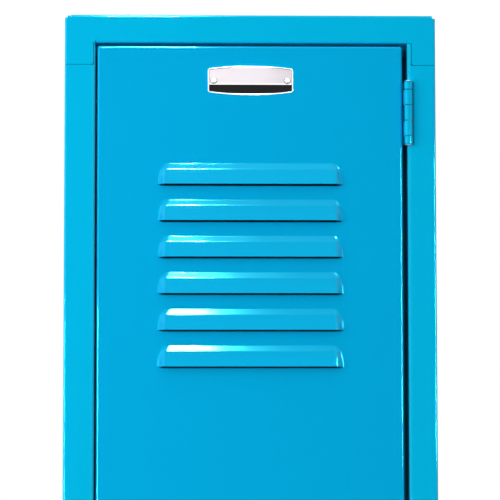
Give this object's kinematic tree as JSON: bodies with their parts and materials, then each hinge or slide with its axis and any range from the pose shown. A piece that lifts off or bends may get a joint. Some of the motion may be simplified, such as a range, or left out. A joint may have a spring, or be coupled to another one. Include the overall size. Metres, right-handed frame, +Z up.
{
  "type": "school locker",
  "caption": "Tall single-tier steel locker on legs: framed louvred door on knuckle hinges, recessed lift handle with padlock eye, lock bar, hat shelf and coat hooks.",
  "frame": {"origin": "on the floor, under the middle of the bounding box", "axes": "+Z up, the door faces -Y, +X is the hinge side"},
  "size_m": [0.3048, 0.388, 1.6764],
  "materials": {
    "locker_paint": "smooth gloss enamel, sky blue",
    "frame_paint": "smooth gloss enamel, sky blue",
    "zinc_plate": "bright zinc plate",
    "stainless": "brushed stainless steel",
    "bright_plate": "satin aluminium",
    "nylon": "natural nylon",
    "black_plastic": "black moulded plastic",
    "rubber": "dark grey rubber"
  },
  "bodies": {
    "cabinet": {"frame_upright_latch_side": "frame_paint", "frame_upright_hinge_side": "frame_paint", "frame_top_rail": "frame_paint", "frame_bottom_rail": "frame_paint", "front_foot_left": "frame_paint", "front_foot_right": "frame_paint", "side_panel_left": "locker_paint", "side_panel_right": "locker_paint", "back_panel": "locker_paint", "top_panel": "locker_paint", "bottom_panel": "locker_paint", "hat_shelf": "locker_paint", "rear_leg_left": "frame_paint", "rear_leg_right": "frame_paint", "ceiling_hook": "zinc_plate", "coat_hook_left": "zinc_plate", "coat_hook_right": "zinc_plate", "coat_hook_back": "zinc_plate", "frame_hook_top": "zinc_plate", "silencer_top": "rubber", "hinge_frame_leaf_top": "frame_paint", "hinge_pin_top": "frame_paint", "frame_hook_middle": "zinc_plate", "silencer_middle": "rubber", "hinge_frame_leaf_middle": "frame_paint", "hinge_pin_middle": "frame_paint", "frame_hook_bottom": "zinc_plate", "silencer_bottom": "rubber", "hinge_frame_leaf_bottom": "frame_paint", "hinge_pin_bottom": "frame_paint"},
    "door": {"door_panel": "locker_paint", "name_plate": "bright_plate", "plate_rivet_left": "bright_plate", "plate_rivet_right": "bright_plate", "handle_pocket": "stainless", "padlock_staple": "zinc_plate", "hinge_door_leaf_top": "frame_paint", "lock_bar_guide_top": "nylon", "hinge_door_leaf_middle": "frame_paint", "lock_bar_guide_middle": "nylon", "hinge_door_leaf_bottom": "frame_paint", "lock_bar_guide_bottom": "nylon"},
    "lock_bar": {"lock_bar": "zinc_plate", "lift_trigger": "zinc_plate", "trigger_cover": "black_plastic"}
  },
  "joints": [
    {"name": "door_hinge", "type": "hinge", "parent": "cabinet", "child": "door", "pos_m": [0.1294, -0.1905, 0.9144], "axis": [0, 0, 1], "range_deg": [0, 170]},
    {"name": "latch_lift", "type": "slide", "parent": "door", "child": "lock_bar", "axis": [0, 0, 1], "range_m": [0, 0.014]}
  ]
}
